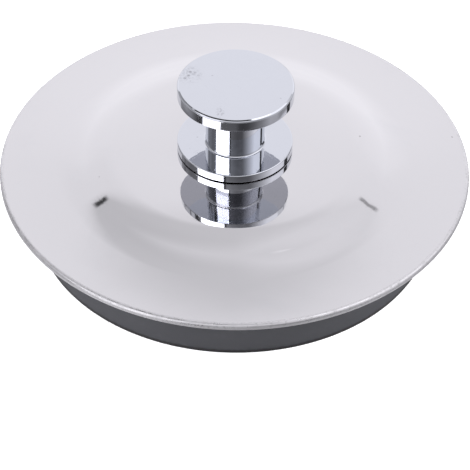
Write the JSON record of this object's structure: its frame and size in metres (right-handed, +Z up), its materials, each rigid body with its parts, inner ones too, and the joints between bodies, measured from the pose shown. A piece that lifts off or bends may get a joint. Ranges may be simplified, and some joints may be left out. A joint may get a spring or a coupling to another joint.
{
  "type": "drain stopper",
  "caption": "Round drain stopper: a polished, gently domed cover disc with a spool-shaped lifting knob, on a rubber plug that seals the drain opening of a sink.",
  "frame": {"origin": "middle of the lower face of the rubber plug, on which the stopper stands", "axes": "+Z up along the axis of the stopper, from the plug to the knob; X and Y across it"},
  "size_m": [0.085, 0.085, 0.0305],
  "materials": {
    "polished_stainless": "mirror-polished stainless steel sheet",
    "chrome_plate": "bright chrome plating on a turned knob",
    "gasket_rubber": "smooth matt black sheet",
    "seal_rubber": "moulded, dark grey, matt",
    "stainless_hardware": "plain stainless fasteners, tumbled"
  },
  "bodies": {
    "stopper": {"cover_plate": "polished_stainless", "rubber_seal": "seal_rubber", "clamp_washer": "stainless_hardware", "spring_washer": "stainless_hardware", "clamp_screw": "stainless_hardware"},
    "gasket": {"knob_gasket": "gasket_rubber"},
    "knob": {"knob": "chrome_plate"}
  },
  "joints": [
    {"name": "knob_turn", "type": "hinge", "parent": "stopper", "child": "gasket", "pos_m": [0, 0, 0.0163], "axis": [0, 0, 1], "range_deg": [0, 2520]},
    {"name": "knob_rise", "type": "slide", "parent": "gasket", "child": "knob", "axis": [0, 0, 1], "range_m": [0, 0.0056]}
  ],
  "couplings": [
    {"joint": "knob_turn", "follows": "knob_rise", "rad_per_m": 7854}
  ]
}
